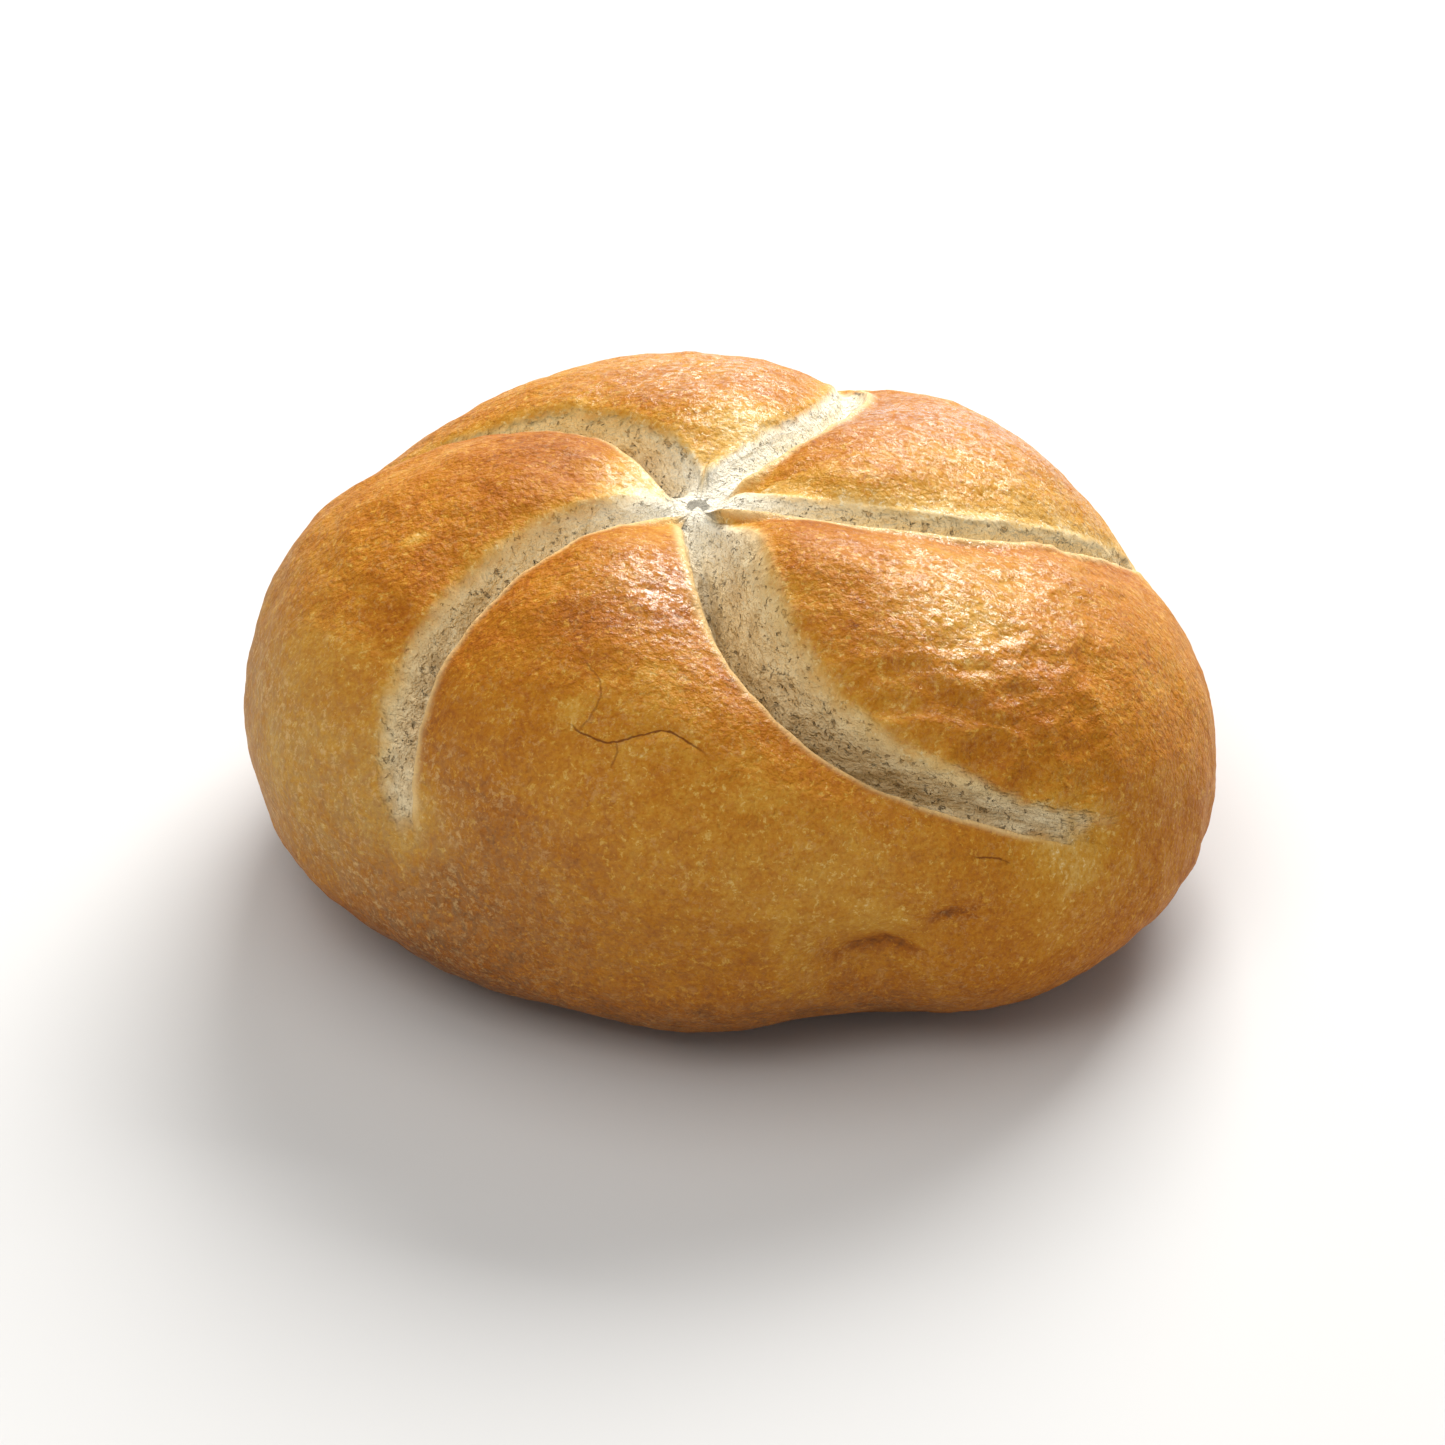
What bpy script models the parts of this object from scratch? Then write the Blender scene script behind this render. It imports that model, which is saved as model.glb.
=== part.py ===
"""A kaiser roll: one baked roll whose crown is parted by five curved cuts into five petals.

Metres, +Z up. The roll stands on its flat foot at z = 0, and the origin is at the middle of its
bounding box, at the bottom. The side with the long, wide cut faces -Y.

The surface is a grid. Its rings go round the roll, from the hub where the cuts meet down to the
foot, and its columns follow the cuts and their lips. A place on it is given by its azimuth and its
way, which is 0 at the hub, 1 at the widest level and 2 at the rim of the foot.
"""

import math
from collections import namedtuple

import bmesh
import bpy
from mathutils import Vector, noise

# The dome, before the cuts part it
BELLY_RADIUS = 0.0500  # mean radius at the widest level
BELLY_HEIGHT = 0.0144  # the widest level, above the foot
CROWN_HEIGHT = 0.0474  # the top of the dome
CROWN_FULLNESS = 2.32  # 2 is an ellipse, more is a squarer shoulder
FOOT_SHARE = 0.60  # radius of the flat foot, as a share of the belly's
CROWN_LEAN = Vector((-0.0042, -0.0063, 0.0))  # how far the hub lies from the middle

# Seen from above the roll is a little long one way, and a little three-cornered
OVAL_SWELL = 0.0245
OVAL_TURN = math.radians(-58)
CORNER_SWELL = 0.033
CORNER_TURN = math.radians(-44)

# A cut leaves the hub at the azimuth start, and by the widest level it would swing by turn. With a
# bend above 1 it swings late, below 1 early. It ends at its reach, a share of the way to the
# widest level. Its steep wall stands on its steep side, 1 for counterclockwise and -1 for
# clockwise, and its broad wall on the other.
Cut = namedtuple("Cut", "start turn bend reach depth steep_side steep_wall broad_wall")
CUTS = (
    Cut(math.radians(272.5), math.radians(57.5), 1.97, 0.82, 0.0072, -1, 0.0016, 0.0053),
    Cut(math.radians(313.0), math.radians(71.0), 0.50, 0.84, 0.0055, -1, 0.0012, 0.0019),
    Cut(math.radians(406.0), math.radians(45.0), 1.20, 0.66, 0.0055, -1, 0.0014, 0.0023),
    Cut(math.radians(474.0), math.radians(55.5), 0.88, 0.82, 0.0060, 1, 0.0014, 0.0032),
    Cut(math.radians(567.0), math.radians(25.0), 1.08, 0.84, 0.0062, 1, 0.0014, 0.0030),
)
SWING_END = 0.95  # the way at which the cuts stop swinging
CUT_CLOSING = 0.68  # the share of its reach from which a cut closes
CLOSED_WALL = 0.45  # how wide a wall still is at the reach, as a share of its full width
CUT_FLOOR = 0.0005  # half the width of a cut's floor
STEEP_PROFILE = 1.6  # above 1 the steep wall meets the lip at a sharp edge
BROAD_PROFILE = 1.25  # above 1 the broad wall runs out softly
TIP_WALL = 0.42  # a wall's greatest width, as a share of the way across its petal
FULL_WALL = 0.0200  # the width of a petal from which its walls have their full depth
HUB_DEPTH = 0.0049  # how far the tips of the petals dip at the hub
HUB_RADIUS = 0.0180  # where the tips start to dip

# A petal stands highest in its middle, and falls off towards its lips
PETAL_SWELL = 0.0040
PETAL_FALL = 2.6  # 2 is an even curve, more is a flatter middle with a rounder shoulder
SWELL_FADE = (0.40, 1.10)  # from where to where the petals merge into the side

# Dents of the side, each with its azimuth, its way, how far it spreads along both, and its depth
Dent = namedtuple("Dent", "azimuth way azimuth_spread way_spread depth")
DENTS = (
    Dent(math.radians(-76), 1.30, math.radians(14), 0.60, 0.0036),
    Dent(math.radians(-76), 0.97, math.radians(5), 0.04, 0.0011),
)

# Relief of the crust
LUMP_SIZE = 0.0150
LUMP_HEIGHT = 0.0007
BLISTER_SIZE = 0.0060
BLISTER_HEIGHT = 0.0002
RELIEF_FADE = (1.60, 1.95)  # from where to where the relief dies out above the foot

# The grid of the surface
WALL_COLUMNS = 3  # up each wall
CROWN_COLUMNS = 14  # across a petal, from lip to lip
LIP_CROWDING = 0.45  # 0 spreads these evenly, 1 crowds them at the lips
EVEN_FROM = (0.80, 1.25)  # past the reach of the cuts all columns spread out evenly
CROWN_RINGS = 34
SIDE_RINGS = 9
HUB_RING = 0.022  # the way of the first ring

FULL_TURN = 2.0 * math.pi
SLOPE_STEP = 0.004  # the step over which the dome's slopes are taken


def blend(edge_0, edge_1, value):
    """0 up to edge_0, 1 from edge_1, and a smooth step between them."""
    share = min(1.0, max(0.0, (value - edge_0) / (edge_1 - edge_0)))
    return share * share * (3.0 - 2.0 * share)


def dome_radius(azimuth, way):
    oval = OVAL_SWELL * math.cos(2.0 * (azimuth - OVAL_TURN))
    corners = CORNER_SWELL * math.cos(3.0 * (azimuth - CORNER_TURN))
    belly = BELLY_RADIUS * (1.0 + oval + corners)
    angle = 0.5 * math.pi * way
    if way <= 1.0:
        return belly * math.sin(angle) ** (2.0 / CROWN_FULLNESS)
    return belly * (FOOT_SHARE + (1.0 - FOOT_SHARE) * math.sin(angle))


def dome_point(azimuth, way):
    """A point of the uncut dome."""
    angle = 0.5 * math.pi * way
    rise = 0.0
    if way < 1.0:
        rise = math.cos(angle) ** (2.0 / CROWN_FULLNESS)
        height = BELLY_HEIGHT + (CROWN_HEIGHT - BELLY_HEIGHT) * rise
    else:
        height = BELLY_HEIGHT * (1.0 + math.cos(angle))
    radius = dome_radius(azimuth, way)
    return Vector((radius * math.cos(azimuth), radius * math.sin(azimuth), height)) + CROWN_LEAN * rise


def dome_normal(azimuth, way):
    down = dome_point(azimuth, min(way + SLOPE_STEP, 2.0)) - dome_point(azimuth, way - SLOPE_STEP)
    along = dome_point(azimuth + SLOPE_STEP, way) - dome_point(azimuth - SLOPE_STEP, way)
    return down.cross(along).normalized()


def cut_azimuth(cut, way):
    return cut.start + cut.turn * min(way, SWING_END) ** cut.bend


def wall_width(cut, side, way, petal_width):
    """Width of a cut's wall: it narrows at the hub, and again where the cut closes."""
    width = cut.steep_wall if side == cut.steep_side else cut.broad_wall
    closing = 1.0 - (1.0 - CLOSED_WALL) * blend(CUT_CLOSING, 1.0, way / cut.reach)
    return min(width * closing, petal_width * TIP_WALL - CUT_FLOOR)


def wall_depth(cut, side, distance, width, way):
    """How deep the crust lies below its petal at this distance from the cut's middle."""
    opening = 1.0 - blend(CUT_CLOSING, 1.0, way / cut.reach)
    up_the_wall = min(1.0, max(0.0, distance - CUT_FLOOR) / width)
    if side == cut.steep_side:
        return cut.depth * opening * (1.0 - up_the_wall ** STEEP_PROFILE)
    return cut.depth * opening * (1.0 - up_the_wall) ** BROAD_PROFILE


def dent_depth(dent, azimuth, way):
    turned = math.remainder(azimuth - dent.azimuth, FULL_TURN) / dent.azimuth_spread
    lower = (way - dent.way) / dent.way_spread
    return dent.depth * math.exp(-turned * turned - lower * lower)


def relief(azimuth, way):
    """Lumps, blisters and dents of the crust, which fade out towards the flat foot."""
    point = dome_point(azimuth, way)
    lumps = noise.noise(point / LUMP_SIZE) * LUMP_HEIGHT
    blisters = noise.noise(point / BLISTER_SIZE) * BLISTER_HEIGHT
    dents = sum(dent_depth(dent, azimuth, way) for dent in DENTS)
    return (lumps + blisters - dents) * (1.0 - blend(*RELIEF_FADE, way))


def shares_across(own_wall, others_wall, petal_width, way):
    """Where the columns of a petal lie, as shares of the way from its own cut to the next one."""
    steps = [i / WALL_COLUMNS for i in range(WALL_COLUMNS + 1)]
    own = [(CUT_FLOOR + own_wall * step) / petal_width for step in steps]
    others = [1.0 - (CUT_FLOOR + others_wall * step) / petal_width for step in reversed(steps)]
    between = []
    for i in range(1, CROWN_COLUMNS):
        share = i / CROWN_COLUMNS
        share -= LIP_CROWDING * math.sin(FULL_TURN * share) / FULL_TURN
        between.append(own[-1] + (others[0] - own[-1]) * share)
    lined_up = [0.0] + own + between + others
    evenness = blend(*EVEN_FROM, way)
    return [share + (i / len(lined_up) - share) * evenness for i, share in enumerate(lined_up)]


def ring_of_petal(petal, way):
    """The points of one ring, from a petal's own cut up to the next one."""
    cut, following = CUTS[petal], CUTS[(petal + 1) % len(CUTS)]
    start, end = cut_azimuth(cut, way), cut_azimuth(following, way)
    end += FULL_TURN * (petal + 1 == len(CUTS))
    radius = dome_radius(0.5 * (start + end), way)
    petal_width = radius * (end - start)
    own_wall = wall_width(cut, 1, way, petal_width)
    others_wall = wall_width(following, -1, way, petal_width)
    tip = 1.0 - blend(0.0, HUB_RADIUS, radius)
    ring = []
    for share in shares_across(own_wall, others_wall, petal_width, way):
        azimuth = start + share * (end - start)
        wall = max(wall_depth(cut, 1, share * petal_width, own_wall, way),
                   wall_depth(following, -1, (1.0 - share) * petal_width, others_wall, way))
        fall = PETAL_SWELL * abs(2.0 * share - 1.0) ** PETAL_FALL * (1.0 - blend(*SWELL_FADE, way))
        depth = HUB_DEPTH * tip + fall * (1.0 - tip) + wall * min(1.0, petal_width / FULL_WALL)
        ring.append(dome_point(azimuth, way) + dome_normal(azimuth, way) * (relief(azimuth, way) - depth))
    return ring


def ring_at(way):
    return [point for petal in range(len(CUTS)) for point in ring_of_petal(petal, way)]


def place(loop, points):
    for vertex, point in zip(loop, points):
        vertex.co = point


def extrude_loop(shape, loop):
    """Extrudes a closed loop of vertices, and gives the new loop in the same order."""
    edges = [next(edge for edge in a.link_edges if edge.other_vert(a) is b)
             for a, b in zip(loop, loop[1:] + loop[:1])]
    made = set(bmesh.ops.extrude_edge_only(shape, edges=edges)["geom"])
    return [next(edge.other_vert(a) for edge in a.link_edges if edge.other_vert(a) in made) for a in loop]


def roll_mesh():
    """The flat foot, with its rim extruded ring by ring up to the hub."""
    crown = [HUB_RING + (1.0 - HUB_RING) * i / CROWN_RINGS for i in range(CROWN_RINGS + 1)]
    side = [1.0 + (i + 1) / SIDE_RINGS for i in range(SIDE_RINGS)]
    rim = [Vector((point.x, point.y, 0.0)) for point in ring_at(side.pop())]
    shape = bmesh.new()
    loop = bmesh.ops.create_circle(shape, cap_ends=True, segments=len(rim), radius=BELLY_RADIUS)["verts"]
    place(loop, rim)
    for way in reversed(crown + side):
        loop = extrude_loop(shape, loop)
        place(loop, ring_at(way))
    hub = dome_point(0.0, 0.0) - Vector((0.0, 0.0, HUB_DEPTH))
    bmesh.ops.pointmerge(shape, verts=extrude_loop(shape, loop), merge_co=hub)
    bmesh.ops.recalc_face_normals(shape, faces=shape.faces)
    mesh = bpy.data.meshes.new("kaiser_roll")
    shape.to_mesh(mesh)
    shape.free()
    return mesh


def centre_on_origin(mesh):
    """Puts the middle of the mesh's bounding box over the origin."""
    for axis in (0, 1):
        places = [vertex.co[axis] for vertex in mesh.vertices]
        middle = 0.5 * (min(places) + max(places))
        for vertex in mesh.vertices:
            vertex.co[axis] -= middle


def crust_material():
    material = bpy.data.materials.new("baked_crust")
    material.use_nodes = True
    surface = material.node_tree.nodes["Principled BSDF"]
    surface.inputs["Base Color"].default_value = (0.48, 0.22, 0.05, 1.0)
    surface.inputs["Roughness"].default_value = 0.45
    surface.inputs["Metallic"].default_value = 0.0
    return material


def main():
    for old in list(bpy.data.objects):
        bpy.data.objects.remove(old)
    mesh = roll_mesh()
    centre_on_origin(mesh)
    mesh.materials.append(crust_material())
    mesh.shade_smooth()
    roll = bpy.data.objects.new("kaiser_roll", mesh)
    bpy.context.scene.collection.objects.link(roll)


main()
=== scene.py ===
"""Looks of the kaiser roll: the baked crust and the torn crumb of the cuts, over its plain solid.

Metres, +Z up, in the solid's own frame. A place on the roll is told as the solid has it: its
azimuth, its way, which is 0 at the hub, 1 at the widest level and 2 at the rim of the foot, and
its depth below the uncut dome.
"""

import math
from collections import namedtuple

import bpy
import numpy as np
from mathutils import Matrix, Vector, noise


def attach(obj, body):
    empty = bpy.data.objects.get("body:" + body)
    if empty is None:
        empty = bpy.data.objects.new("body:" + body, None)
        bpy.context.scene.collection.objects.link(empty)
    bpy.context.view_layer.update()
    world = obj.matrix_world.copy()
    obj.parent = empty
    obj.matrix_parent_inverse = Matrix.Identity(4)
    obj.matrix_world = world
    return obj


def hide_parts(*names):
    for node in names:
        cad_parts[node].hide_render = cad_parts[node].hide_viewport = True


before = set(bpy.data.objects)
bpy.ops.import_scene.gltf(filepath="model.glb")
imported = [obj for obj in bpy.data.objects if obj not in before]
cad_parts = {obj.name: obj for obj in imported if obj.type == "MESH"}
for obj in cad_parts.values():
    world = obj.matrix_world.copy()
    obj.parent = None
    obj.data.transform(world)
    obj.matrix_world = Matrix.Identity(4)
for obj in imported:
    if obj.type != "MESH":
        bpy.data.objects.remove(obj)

bl_info = {
    "name": "Kaiser roll",
    "version": (1, 0, 0),
    "blender": (4, 5, 0),
    "location": "3D View > Sidebar > Kaiser roll",
    "description": "Builds a baked kaiser roll over its plain solid, and the stage it stands on",
    "category": "Object",
}

# The uncut dome, as the solid has it
BELLY_RADIUS = 0.0500
BELLY_HEIGHT = 0.0144
CROWN_HEIGHT = 0.0474
CROWN_FULLNESS = 2.32
FOOT_SHARE = 0.60
CROWN_LEAN = np.array((-0.0042, -0.0063, 0.0))
OVAL_SWELL = 0.0245
OVAL_TURN = math.radians(-58)
CORNER_SWELL = 0.033
CORNER_TURN = math.radians(-44)
DOME_MIDDLE = np.array((0.00096, -0.00114, 0.0))  # where the dome's own middle lies

# The five cuts, as the solid has them
Cut = namedtuple("Cut", "start turn bend reach steep_side steep_wall broad_wall")
CUTS = (
    Cut(math.radians(272.5), math.radians(57.5), 1.97, 0.82, -1, 0.0016, 0.0053),
    Cut(math.radians(313.0), math.radians(71.0), 0.50, 0.84, -1, 0.0012, 0.0019),
    Cut(math.radians(406.0), math.radians(45.0), 1.20, 0.66, -1, 0.0014, 0.0023),
    Cut(math.radians(474.0), math.radians(55.5), 0.88, 0.82, 1, 0.0014, 0.0032),
    Cut(math.radians(567.0), math.radians(25.0), 1.08, 0.84, 1, 0.0014, 0.0030),
)
SWING_END = 0.95
CUT_CLOSING = 0.68
CLOSED_WALL = 0.45
CUT_FLOOR = 0.0005
TIP_WALL = 0.42

# The view of the photograph, which is the camera's too, and the photograph's width in pixels
CAMERA_TARGET = Vector((0.0, 0.0, 0.026))
CAMERA_DISTANCE = 0.6
CAMERA_ELEVATION = math.radians(31)
CAMERA_LENS = 146.3
SENSOR_WIDTH = 36.0
AIM_LEFT = 0.00079  # how far left of its target, and how far below it, the camera is aimed
AIM_DOWN = 0.0113
PHOTO_WIDTH = 1445

# Cracks of the crust, as lines through points of the photograph, across and down in its pixels,
# and how strongly each of them shows; their dark colour is painted shade
MAIN_CRACK = ((566, 722), (581, 732), (600, 742), (616, 742), (640, 735), (665, 728), (690, 742), (715, 761))
UPPER_CRACK = ((577, 729), (588, 722), (601, 697), (601, 680), (578, 652))
LOWER_CRACK = ((616, 742), (618, 752), (609, 770))
SMALL_CRACK = ((974, 857), (994, 857), (1010, 861))
CRACKS = ((MAIN_CRACK, 1.0), (UPPER_CRACK, 0.52), (LOWER_CRACK, 0.55), (SMALL_CRACK, 0.9))

# Creases over the two dents low on the front, as lines through points of the photograph; they
# are darkened as painted shade
LARGE_DENT_CREASE = ((828, 966), (846, 955), (866, 946), (887, 942), (903, 949), (917, 959))
SMALL_DENT_CREASE = ((932, 925), (944, 918), (958, 914), (975, 915))
CREASES = (LARGE_DENT_CREASE, SMALL_DENT_CREASE)

# A mark is two numbers where it was picked in the photograph: across and down, in its pixels. Else
# it is a place given in millimetres. Spreads are in millimetres.

# Hollows in the crust, with their share of the full depth
Hollow = namedtuple("Hollow", "mark spread share")
HOLLOWS = (
    Hollow((872, 962), 3.6, 1.0),
    Hollow((953, 929), 2.2, 0.7),
    Hollow((683, 527), 0.8, 0.6),
)

# Where the crust is baked more, above 0, or less, below 0. The spots marked below as painted
# light or shade stand for how the light falls, not for baking
Spot = namedtuple("Spot", "mark spread bake")
SPOTS = (
    Spot((600, 620), 6.0, 0.12),
    Spot((640, 700), 6.0, -0.10),
    Spot((820, 860), 9.0, -0.09),
    Spot((450, 900), 13.0, 0.24),
    Spot((1080, 760), 10.0, 0.09),
    Spot((330, 640), 5.0, -0.08),
    Spot((470, 480), 8.0, 0.10),
    Spot((-17.3, 0.0, 44.5), 6.0, 0.14),
    Spot((400, 620), 4.0, 0.10),
    Spot((735, 420), 4.5, -0.35),
    Spot((640, 470), 4.5, -0.35),
    # Painted sheen: the back right petal is paler where it catches the light
    Spot((1010, 480), 9.0, -0.14),
    Spot((-44.0, -26.0, 27.0), 12.0, -0.18),
    Spot((-5.0, 22.0, 43.0), 14.0, -0.08),
    # Painted highlights: the right petal is paler where it shines
    Spot((24.0, -16.0, 43.0), 9.0, -0.12),
    Spot((22.5, -27.5, 39.5), 6.0, -0.25),
    Spot((7.2, -17.0, 43.0), 5.0, 0.10),
    Spot((-33.6, -13.5, 40.0), 8.0, 0.09),
    Spot((-5.0, -45.0, 34.0), 8.0, -0.08),
    Spot((572, 712), 1.4, -0.25),
    Spot((407, 543), 0.9, -0.35),
    Spot((420, 536), 0.9, -0.35),
    Spot((855, 625), 0.45, 0.45),
    # Painted highlight: the lit lower edge of the large dent is paler
    Spot((14.0, -48.0, 20.5), 2.6, -0.16),
)

# Where the crust shines most, and how much
Shine = namedtuple("Shine", "mark spread much")
SHINES = (
    Shine((665, 590), 6.5, 1.0),
    Shine((24.0, -17.0, 42.0), 13.0, 0.8),
    Shine((22.5, -27.5, 39.5), 9.0, 1.0),
    Shine((8.0, -12.0, 44.5), 8.0, 0.3),
    Shine((22.0, 12.0, 41.0), 17.0, 1.0),
    Shine((-2.0, 16.0, 45.0), 14.0, 1.0),
    Shine((-10.0, -4.0, 44.0), 3.5, 0.7),
    Shine((0.0, -33.0, 42.0), 7.0, 0.4),
)
LEAST_SHINE = 0.06

# For each cut: how far up its broad wall the crumb goes and how softly it ends there, how much
# its crumb is brightened by painted light and how uneven it is, how much narrower the crumb gets
# towards the cut's end, how baked its broad lip is, and the share of its depth that is filled
CRUMB_TOP = (1.00, 1.08, 1.00, 1.00, 1.00)
CRUMB_SOFTNESS = (0.30, 0.35, 0.20, 0.20, 0.32)
CRUMB_PAINTED_LIGHT = (0.10, 0.20, 1.0, 0.0, 0.15)
CRUMB_RELIEF = (1.0, 0.4, 0.7, 1.0, 0.9)
END_TAPER = (0.12, 0.40, 0.45, 0.45, 0.40)
LIP_BAKE = (0.7, -0.8, 0.5, 0.7, 0.45)
CUT_FILLING = (0.0, 0.65, 0.55, 0.0, 0.15)

# The crumb at a steep wall, its ragged edge, and where it ends, as a share of the cut's reach
STEEP_CRUMB_TOP = 0.92
STEEP_CRUMB_SOFTNESS = 0.08
RAGGEDNESS = 0.12
RAGGED_SIZE = 0.0020
CRUMB_END = (0.93, 1.03)
SHORT_CUT = 2
SHORT_CUT_STRETCH = 1.10
WARM_CUT = 1  # its crumb takes on the colour of the crumb's edge from lower down
WARM_CUT_CLIMB = 0.50

# The thin pale rim on the sharp lips, partly the crust's own colour and partly a painted highlight
RIM_PAST_LIP = 0.0002
RIM_WIDTH = 0.00062
RIM_HEIGHT = 0.00018

# How much more the crust is baked at the lips, how much darker it is low down, partly from
# baking and partly as painted shade, and how much less it is baked at the hub, the broad lips
# and the ends of the cuts
LIP_BAKING, LIP_SPREAD = 0.16, 0.005
LOW_BAKE_AND_SHADE = 0.27
HUB_PALENESS, HUB_SPREAD = 0.60, 0.0065
BROAD_LIP_PALENESS, BROAD_LIP_SPREAD = 0.30, 0.0014
CUT_END_PALENESS, CUT_END_SPREAD = 0.34, 6.0
BAKE_UNEVENNESS, BAKE_PATCH_SIZE = 0.07, 0.016

# Sizes of the relief
LUMP_SIZE = 0.0070
SMALL_LUMP_SIZE, SMALL_LUMP_SHARE = 0.0026, 0.6
WRINKLED_PETAL = 0
WRINKLE_SIZE, WRINKLE_STRETCH = 0.0064, (0.6, 1.1, 1.3)
TORN_SIZE = 0.0017
# The creases take a share of the dent depth, and are darkened as painted shade
CREASE_WIDTH, CREASE_SHARE, CREASE_PAINTED_SHADE = 0.0009, 0.30, 0.30
CRACK_GROOVE = 0.00035
FILLED_BELOW = 0.0020

# How fine each grain of the material is, in grains for each metre
PATCH_SCALE = 240.0
MOTTLE_SCALE = 820.0
GRAIN_SCALE = 2300.0
GRANULE_SCALE = 1300.0
FLECK_SCALE, FLECK_FIELD_SCALE = 1250.0, 160.0
STRAND_SCALE = 900.0
PIT_SCALE = 1150.0
WOBBLE_SCALE, WOBBLE_REACH = 700.0, 0.0003
SKIN_SCALE = 320.0
BLISTER_SCALE = 1100.0
TORN_SCALE = 520.0

# How much each grain darkens the crust, and the tone that they have on the whole
PATCH_TONE, MOTTLE_TONE, GRAIN_TONE, GRANULE_TONE = 0.46, 0.36, 0.46, -0.24
MEAN_TONE = 0.545

# How deep each bump of the material is
SKIN_BUMP, BLISTER_BUMP, GRAIN_BUMP, TORN_BUMP, COAT_BUMP = 0.00042, 0.00014, 0.00022, 0.0012, 0.00024

HUB = (-0.0033, -0.0072)  # where the five cuts meet, seen from above
HUB_DEPTH = 0.0046
HUB_FLAT, HUB_BLENDED = 0.0015, 0.0050  # from the hub, how far it is smoothed wholly, and at all
FOOT_INSETS = (0.0015, 0.0060)
SOLVING_STEPS = 12
FULL_TURN = 2.0 * math.pi
FINE_STEP = 0.004
MILLIMETRE = 0.001

Lamp = namedtuple("Lamp", "name place size power colour")
LAMPS = (
    Lamp("window", (0.25, 0.75, 0.62), (0.65, 0.45), "window_power", (1.0, 0.98, 0.95)),
    Lamp("top_softbox", (-0.15, 0.05, 0.9), (0.6, 0.6), "top_power", (1.0, 0.99, 0.97)),
    Lamp("front_fill", (-0.30, -0.50, 0.80), (0.5, 0.5), "front_power", (1.0, 0.98, 0.94)),
)
LAMP_TARGET = (0.0, 0.0, 0.02)


def blend(edge_0, edge_1, value):
    """0 up to edge_0, 1 from edge_1, and a smooth step between them."""
    share = np.clip((value - edge_0) / (edge_1 - edge_0), 0.0, 1.0)
    return share * share * (3.0 - 2.0 * share)


def dome_radius(azimuth, way):
    oval = OVAL_SWELL * np.cos(2.0 * (azimuth - OVAL_TURN))
    corners = CORNER_SWELL * np.cos(3.0 * (azimuth - CORNER_TURN))
    belly = BELLY_RADIUS * (1.0 + oval + corners)
    angle = np.clip(0.5 * math.pi * way, 1e-4, math.pi)
    crown = belly * np.sin(angle) ** (2.0 / CROWN_FULLNESS)
    side = belly * (FOOT_SHARE + (1.0 - FOOT_SHARE) * np.sin(angle))
    return np.where(way <= 1.0, crown, side)


def dome_points(azimuth, way):
    """Points of the uncut dome, one row for each place."""
    angle = 0.5 * math.pi * way
    rise = np.clip(np.cos(angle), 0.0, 1.0) ** (2.0 / CROWN_FULLNESS)
    crown = BELLY_HEIGHT + (CROWN_HEIGHT - BELLY_HEIGHT) * rise
    side = BELLY_HEIGHT * (1.0 + np.cos(angle))
    radius = dome_radius(azimuth, way)
    height = np.where(way < 1.0, crown, side)
    points = np.stack((radius * np.cos(azimuth), radius * np.sin(azimuth), height), 1)
    return points + CROWN_LEAN * rise[:, None] + DOME_MIDDLE


def dome_normals(azimuth, way):
    lower = np.minimum(way + FINE_STEP, 2.0)
    down = dome_points(azimuth, lower) - dome_points(azimuth, way - FINE_STEP)
    along = dome_points(azimuth + FINE_STEP, way) - dome_points(azimuth - FINE_STEP, way)
    normal = np.cross(down, along)
    return normal / (np.linalg.norm(normal, axis=1)[:, None] + 1e-12)


def sunk_points(azimuth, way, depth):
    """Points that lie this deep below the uncut dome."""
    return dome_points(azimuth, way) - dome_normals(azimuth, way) * depth[:, None]


def find_places(points):
    """The azimuth, way and depth of points of the roll, by Newton's steps."""
    rise = np.clip((points[:, 2] - BELLY_HEIGHT) / (CROWN_HEIGHT - BELLY_HEIGHT), 0.0, 1.0)
    flat = points - DOME_MIDDLE - CROWN_LEAN * rise[:, None]
    azimuth = np.arctan2(flat[:, 1], flat[:, 0])
    share = np.hypot(flat[:, 0], flat[:, 1]) / dome_radius(azimuth, np.ones(len(points)))
    half = 0.5 * CROWN_FULLNESS
    crown = np.arctan2(share ** half, rise ** half) / (0.5 * math.pi)
    side = np.arccos(np.clip(points[:, 2] / BELLY_HEIGHT - 1.0, -1.0, 1.0)) / (0.5 * math.pi)
    way = np.where(points[:, 2] > BELLY_HEIGHT, crown, side)
    place = np.stack((azimuth, np.clip(way, 0.01, 1.99), np.full(len(points), 0.002)), 1)
    scales = np.array((1e-4, 1e-4, 1e-5))
    limits = np.array((0.15, 0.05, 0.003))
    for _ in range(SOLVING_STEPS):
        here = sunk_points(*place.T)
        slopes = []
        for i, scale in enumerate(scales):
            moved = place.copy()
            moved[:, i] += scale
            slopes.append((sunk_points(*moved.T) - here) / scale)
        slopes = np.stack(slopes, 2) + np.eye(3) * 1e-9
        step = np.linalg.solve(slopes, (points - here)[:, :, None])[:, :, 0]
        place += np.clip(step, -limits, limits)
        place[:, 1] = np.clip(place[:, 1], 0.008, 1.992)
    return place.T


def cut_azimuth(cut, way):
    return cut.start + cut.turn * np.minimum(way, SWING_END) ** cut.bend


def wall_width(cut, side, way, petal_width):
    width = cut.steep_wall if side == cut.steep_side else cut.broad_wall
    closing = 1.0 - (1.0 - CLOSED_WALL) * blend(CUT_CLOSING, 1.0, way / cut.reach)
    return np.minimum(width * closing, petal_width * TIP_WALL - CUT_FLOOR)


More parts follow.
